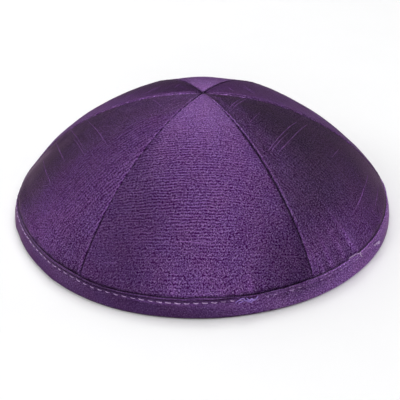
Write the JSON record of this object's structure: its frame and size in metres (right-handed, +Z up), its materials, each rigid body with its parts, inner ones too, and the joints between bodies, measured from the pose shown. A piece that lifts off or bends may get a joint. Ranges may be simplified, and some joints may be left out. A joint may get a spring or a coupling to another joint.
{
  "type": "kippah",
  "caption": "Low domed skullcap sewn from slubbed silk panels that meet at the crown, its edge bound in a topstitched strip.",
  "frame": {"origin": "middle of the rim, on the surface that the rim rests on", "axes": "+Z up through the crown, -Y towards the front panel, +X to the front's right as seen"},
  "size_m": [0.1696, 0.1696, 0.0533],
  "materials": {
    "silk": "purple slubbed silk with a soft sheen",
    "binding": "the same silk on the bias, topstitched"
  },
  "bodies": {
    "root": {"panel_front": "silk", "panel_front_right": "silk", "panel_back_right": "silk", "panel_back": "silk", "panel_back_left": "silk", "panel_front_left": "silk", "rim_binding": "binding"}
  },
  "joints": []
}
